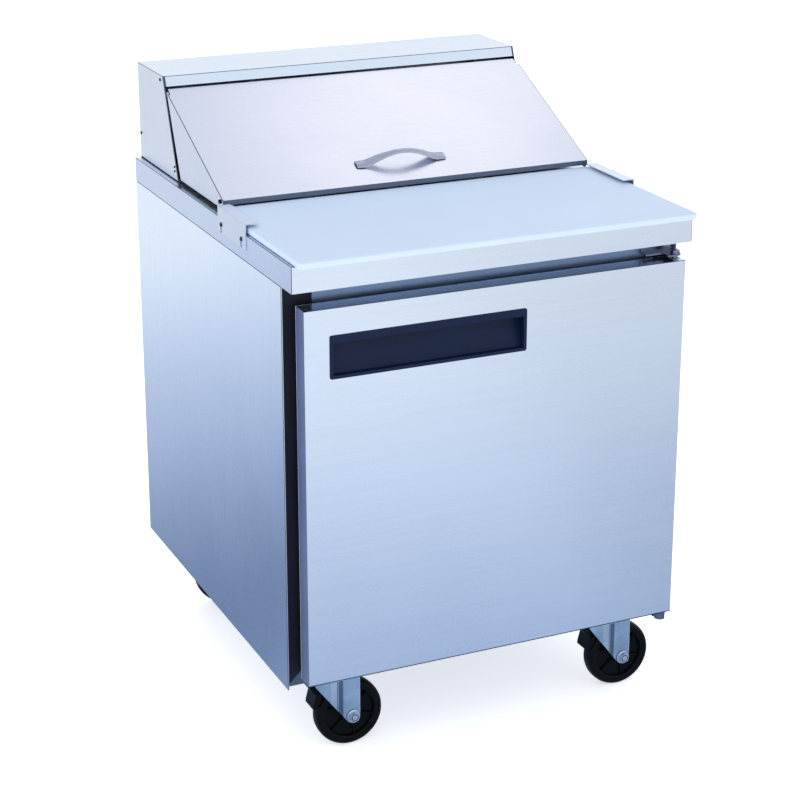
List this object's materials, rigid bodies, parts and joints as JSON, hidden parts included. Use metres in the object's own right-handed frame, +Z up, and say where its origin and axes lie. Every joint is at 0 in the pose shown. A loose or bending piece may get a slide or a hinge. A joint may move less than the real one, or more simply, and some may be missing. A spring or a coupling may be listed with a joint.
{
  "type": "sandwich prep table",
  "caption": "Refrigerated cabinet on casters with a hinged door, food pans under a hinged sloping lid and hood, and a sliding cutting board in front.",
  "frame": {"origin": "on the floor, under the middle of the overall box at rest", "axes": "+Z up, -Y towards the person who works at the board, +X towards the door's hinge side"},
  "size_m": [0.7438, 0.827, 1.103],
  "materials": {
    "stainless": "satin",
    "lid_stainless": "satin",
    "inner_stainless": "satin",
    "galvanised": "matte",
    "zinc_plated": "satin",
    "dark_screws": "satin",
    "foam": "matte",
    "wire": "gloss",
    "coil_fins": "matte",
    "black_enamel": "satin",
    "motor_black": "satin",
    "copper": "satin",
    "white_plastic": "matte",
    "black_plastic": "satin",
    "black_rubber": "matte",
    "board_plastic": "matte",
    "wheel_black": "satin"
  },
  "bodies": {
    "cabinet": {"side_panel_left": "stainless", "side_panel_right": "stainless", "back_panel": "stainless", "bottom_panel": "galvanised", "front_frame": "stainless", "inner_liner": "inner_stainless", "cabinet_foam": "foam", "bay_liner": "galvanised", "worktop": "stainless", "pan_rails": "inner_stainless", "food_pans": "inner_stainless", "hood_shell": "stainless", "hood_liner": "inner_stainless", "panel_screws": "dark_screws", "lid_hinge_ears": "galvanised", "board_brackets": "stainless", "bracket_screws": "dark_screws", "hinge_top": "galvanised", "hinge_bottom": "galvanised", "shelf": "wire", "shelf_supports": "inner_stainless", "evaporator_coil": "coil_fins", "evaporator_cover": "inner_stainless", "fan_motors": "motor_black", "thermostat": "white_plastic", "machine_deck": "galvanised", "compressor": "black_enamel", "condenser_coil": "coil_fins", "fan_shroud": "galvanised", "refrigerant_pipes": "copper", "condensate_pan": "galvanised", "rear_grille": "galvanised", "cord_gland": "black_plastic", "caster_plates": "zinc_plated", "caster_bolts": "zinc_plated"},
    "lid": {"lid_skin": "lid_stainless", "lid_liner": "inner_stainless", "lid_handle": "lid_stainless", "lid_bushes": "black_plastic", "lid_bumpers": "black_rubber"},
    "board": {"cutting_board": "board_plastic"},
    "door": {"door_skin": "stainless", "door_liner": "white_plastic", "door_foam": "foam", "door_gasket": "black_rubber", "pull_handle": "black_plastic", "hinge_bushes": "white_plastic"},
    "evaporator_rotor": {"evaporator_fan": "black_plastic"},
    "condenser_rotor": {"condenser_fan": "black_plastic"},
    "knob": {"thermostat_knob": "black_plastic"},
    "caster_front_left": {"fork_front_left": "zinc_plated"},
    "caster_front_right": {"fork_front_right": "zinc_plated"},
    "caster_rear_left": {"fork_rear_left": "zinc_plated"},
    "caster_rear_right": {"fork_rear_right": "zinc_plated"},
    "roller_front_left": {"wheel_front_left": "wheel_black"},
    "roller_front_right": {"wheel_front_right": "wheel_black"},
    "roller_rear_left": {"wheel_rear_left": "wheel_black"},
    "roller_rear_right": {"wheel_rear_right": "wheel_black"},
    "brake_front_left": {"pedal_left": "black_plastic"},
    "brake_front_right": {"pedal_right": "black_plastic"}
  },
  "joints": [
    {"name": "lid_hinge", "type": "hinge", "parent": "cabinet", "child": "lid", "pos_m": [0, 0.24794, 1.07227], "axis": [-1, 0, 0], "range_deg": [0, 114]},
    {"name": "door_hinge", "type": "hinge", "parent": "cabinet", "child": "door", "pos_m": [0.354, -0.36, 0.5], "axis": [0, 0, 1], "range_deg": [0, 110]},
    {"name": "board_slide", "type": "slide", "parent": "cabinet", "child": "board", "axis": [0, -1, 0], "range_m": [0, 0.15]},
    {"name": "evaporator_fan_spin", "type": "hinge", "parent": "cabinet", "child": "evaporator_rotor", "pos_m": [0, 0.1905, 0.643], "axis": [0, 1, 0], "continuous": true},
    {"name": "condenser_fan_spin", "type": "hinge", "parent": "cabinet", "child": "condenser_rotor", "pos_m": [0.15, 0.3175, 0.316], "axis": [0, 1, 0], "continuous": true},
    {"name": "thermostat_turn", "type": "hinge", "parent": "cabinet", "child": "knob", "pos_m": [0.22, 0.1385, 0.575], "axis": [0, -1, 0], "range_deg": [0, 300]},
    {"name": "swivel_front_left", "type": "hinge", "parent": "cabinet", "child": "caster_front_left", "pos_m": [-0.272, -0.2845, 0.148], "axis": [0, 0, 1], "continuous": true},
    {"name": "swivel_front_right", "type": "hinge", "parent": "cabinet", "child": "caster_front_right", "pos_m": [0.272, -0.2845, 0.148], "axis": [0, 0, 1], "continuous": true},
    {"name": "swivel_rear_left", "type": "hinge", "parent": "cabinet", "child": "caster_rear_left", "pos_m": [-0.272, 0.3475, 0.148], "axis": [0, 0, 1], "continuous": true},
    {"name": "swivel_rear_right", "type": "hinge", "parent": "cabinet", "child": "caster_rear_right", "pos_m": [0.272, 0.3475, 0.148], "axis": [0, 0, 1], "continuous": true},
    {"name": "wheel_spin_front_left", "type": "hinge", "parent": "caster_front_left", "child": "roller_front_left", "pos_m": [-0.236, -0.2845, 0.0625], "axis": [0, 1, 0], "continuous": true},
    {"name": "wheel_spin_front_right", "type": "hinge", "parent": "caster_front_right", "child": "roller_front_right", "pos_m": [0.308, -0.2845, 0.0625], "axis": [0, 1, 0], "continuous": true},
    {"name": "wheel_spin_rear_left", "type": "hinge", "parent": "caster_rear_left", "child": "roller_rear_left", "pos_m": [-0.236, 0.3475, 0.0625], "axis": [0, 1, 0], "continuous": true},
    {"name": "wheel_spin_rear_right", "type": "hinge", "parent": "caster_rear_right", "child": "roller_rear_right", "pos_m": [0.308, 0.3475, 0.0625], "axis": [0, 1, 0], "continuous": true},
    {"name": "pedal_press_left", "type": "hinge", "parent": "caster_front_left", "child": "brake_front_left", "pos_m": [-0.296, -0.2845, 0.1125], "axis": [0, -1, 0], "range_deg": [0, 12]},
    {"name": "pedal_press_right", "type": "hinge", "parent": "caster_front_right", "child": "brake_front_right", "pos_m": [0.248, -0.2845, 0.1125], "axis": [0, -1, 0], "range_deg": [0, 12]}
  ]
}
